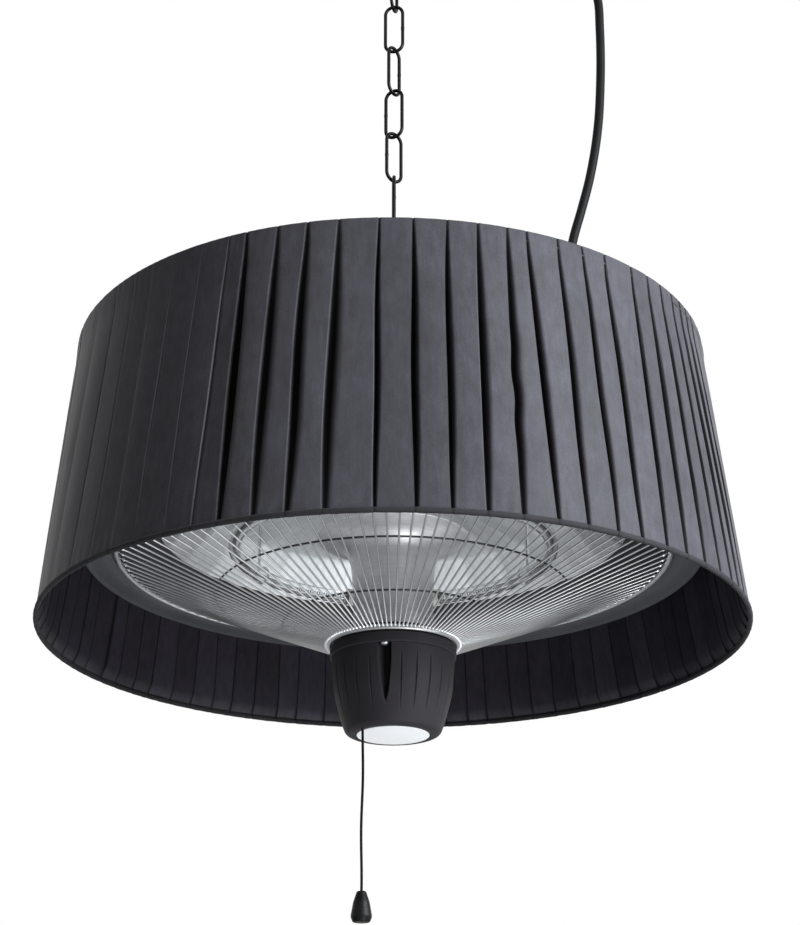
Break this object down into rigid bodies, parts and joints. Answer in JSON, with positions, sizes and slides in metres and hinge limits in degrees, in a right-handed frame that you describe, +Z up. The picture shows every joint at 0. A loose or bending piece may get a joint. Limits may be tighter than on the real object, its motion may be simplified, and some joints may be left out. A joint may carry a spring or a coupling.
{
  "type": "hanging patio heater",
  "caption": "Electric ring-tube patio heater with wire guard in a pleated drum shade, hung on a chain from a ceiling hook, with a pull cord and a coiled power cord.",
  "frame": {"origin": "centre of the ceiling plate's top face, where it meets the ceiling", "axes": "+Z up along the chain, +X towards the side where the power cord hangs, -Y towards the viewer"},
  "size_m": [0.5991, 0.6, 1.1139],
  "materials": {
    "black_steel": "satin",
    "dark_paint": "satin powder coat",
    "zinc": "zinc plated",
    "cloth": "satin ribbon",
    "polished_reflector": "polished",
    "bright_wire": "bright plated",
    "dark_plastic": "fine matt",
    "rubber": "matt",
    "quartz": "clear",
    "heating_wire": "oxidised",
    "ceramic": "glazed",
    "white_plastic": "gloss"
  },
  "bodies": {
    "ceiling": {"ceiling_plate": "black_steel", "plate_screw_front": "zinc", "plate_screw_back": "zinc", "ceiling_hook": "black_steel"},
    "top_link": {"chain_link_1": "black_steel"},
    "chain": {"chain_link_2": "black_steel", "power_cord_coil": "rubber", "power_plug": "rubber", "plug_pin_left": "zinc", "plug_pin_right": "zinc", "cable_tie": "dark_plastic"},
    "link_3": {"chain_link_3": "black_steel"},
    "link_4": {"chain_link_4": "black_steel"},
    "link_5": {"chain_link_5": "black_steel"},
    "link_6": {"chain_link_6": "black_steel"},
    "link_7": {"chain_link_7": "black_steel"},
    "link_8": {"chain_link_8": "black_steel"},
    "link_9": {"chain_link_9": "black_steel"},
    "link_10": {"chain_link_10": "black_steel"},
    "link_11": {"chain_link_11": "black_steel"},
    "heater": {"suspension_eye": "black_steel", "shade_cloth": "cloth", "shade_lower_hem": "cloth", "shade_upper_hem": "cloth", "shade_spider": "black_steel", "spider_nut_upper": "zinc", "spider_nut_lower": "zinc", "dish": "dark_paint", "reflector": "polished_reflector", "top_cover": "dark_paint", "terminal_block": "ceramic", "stem_rod": "zinc", "head_nut_upper": "zinc", "head_nut_lower": "zinc", "quartz_ring": "quartz", "filament": "heating_wire", "tube_end_left": "ceramic", "tube_end_right": "ceramic", "tube_clip_1": "zinc", "tube_clip_2": "zinc", "tube_clip_3": "zinc", "guard": "bright_wire", "guard_hoop_1": "bright_wire", "guard_hoop_2": "bright_wire", "centre_tube": "zinc", "hub_collar": "dark_plastic", "hub_cup": "dark_plastic", "hub_nut": "zinc", "hub_screw_1": "zinc", "hub_screw_2": "zinc", "hub_screw_3": "zinc", "bottom_plate": "white_plastic", "pull_switch": "dark_plastic", "cord_gland": "dark_plastic", "cord_boot": "rubber", "power_cord": "rubber"},
    "pull": {"pull_cord_inner": "rubber"},
    "lever": {"switch_lever": "white_plastic"},
    "bell": {"pull_cord": "rubber", "pull_bell": "dark_plastic"}
  },
  "joints": [
    {"name": "top_link_swing", "type": "hinge", "parent": "ceiling", "child": "top_link", "pos_m": [0, 0, -0.0443], "axis": [0, 1, 0], "range_deg": [-15, 15]},
    {"name": "chain_swing", "type": "hinge", "parent": "top_link", "child": "chain", "pos_m": [0, 0, -0.09095], "axis": [1, 0, 0], "range_deg": [-15, 15]},
    {"name": "link_3_twist", "type": "hinge", "parent": "chain", "child": "link_3", "pos_m": [0, 0, -0.1609], "axis": [0, 0, 1], "range_deg": [-6, 6]},
    {"name": "link_4_twist", "type": "hinge", "parent": "chain", "child": "link_4", "pos_m": [0, 0, -0.2088], "axis": [0, 0, 1], "range_deg": [-6, 6]},
    {"name": "link_5_twist", "type": "hinge", "parent": "chain", "child": "link_5", "pos_m": [0, 0, -0.2567], "axis": [0, 0, 1], "range_deg": [-6, 6]},
    {"name": "link_6_twist", "type": "hinge", "parent": "chain", "child": "link_6", "pos_m": [0, 0, -0.3046], "axis": [0, 0, 1], "range_deg": [-6, 6]},
    {"name": "link_7_twist", "type": "hinge", "parent": "chain", "child": "link_7", "pos_m": [0, 0, -0.3525], "axis": [0, 0, 1], "range_deg": [-6, 6]},
    {"name": "link_8_twist", "type": "hinge", "parent": "chain", "child": "link_8", "pos_m": [0, 0, -0.4004], "axis": [0, 0, 1], "range_deg": [-6, 6]},
    {"name": "link_9_twist", "type": "hinge", "parent": "chain", "child": "link_9", "pos_m": [0, 0, -0.4483], "axis": [0, 0, 1], "range_deg": [-6, 6]},
    {"name": "link_10_twist", "type": "hinge", "parent": "chain", "child": "link_10", "pos_m": [0, 0, -0.4962], "axis": [0, 0, 1], "range_deg": [-6, 6]},
    {"name": "link_11_twist", "type": "hinge", "parent": "chain", "child": "link_11", "pos_m": [0, 0, -0.5441], "axis": [0, 0, 1], "range_deg": [-6, 6]},
    {"name": "heater_swing", "type": "hinge", "parent": "chain", "child": "heater", "pos_m": [0, 0, -0.56995], "axis": [0, 1, 0], "range_deg": [-8, 8], "deforming": ["power_cord"]},
    {"name": "pull_slide", "type": "slide", "parent": "heater", "child": "pull", "axis": [0, 0, -1], "range_m": [0, 0.006], "stiffness_N_per_m": 900},
    {"name": "lever_tilt", "type": "hinge", "parent": "heater", "child": "lever", "pos_m": [-0.01057, -0.01021, -0.9294], "axis": [0.6947, -0.7193, 0], "range_deg": [0, 18]},
    {"name": "bell_swing", "type": "hinge", "parent": "pull", "child": "bell", "pos_m": [-0.02496, -0.02411, -0.9567], "axis": [0, 1, 0], "range_deg": [-25, 25]}
  ],
  "couplings": [
    {"joint": "lever_tilt", "follows": "pull_slide", "rad_per_m": 50}
  ]
}
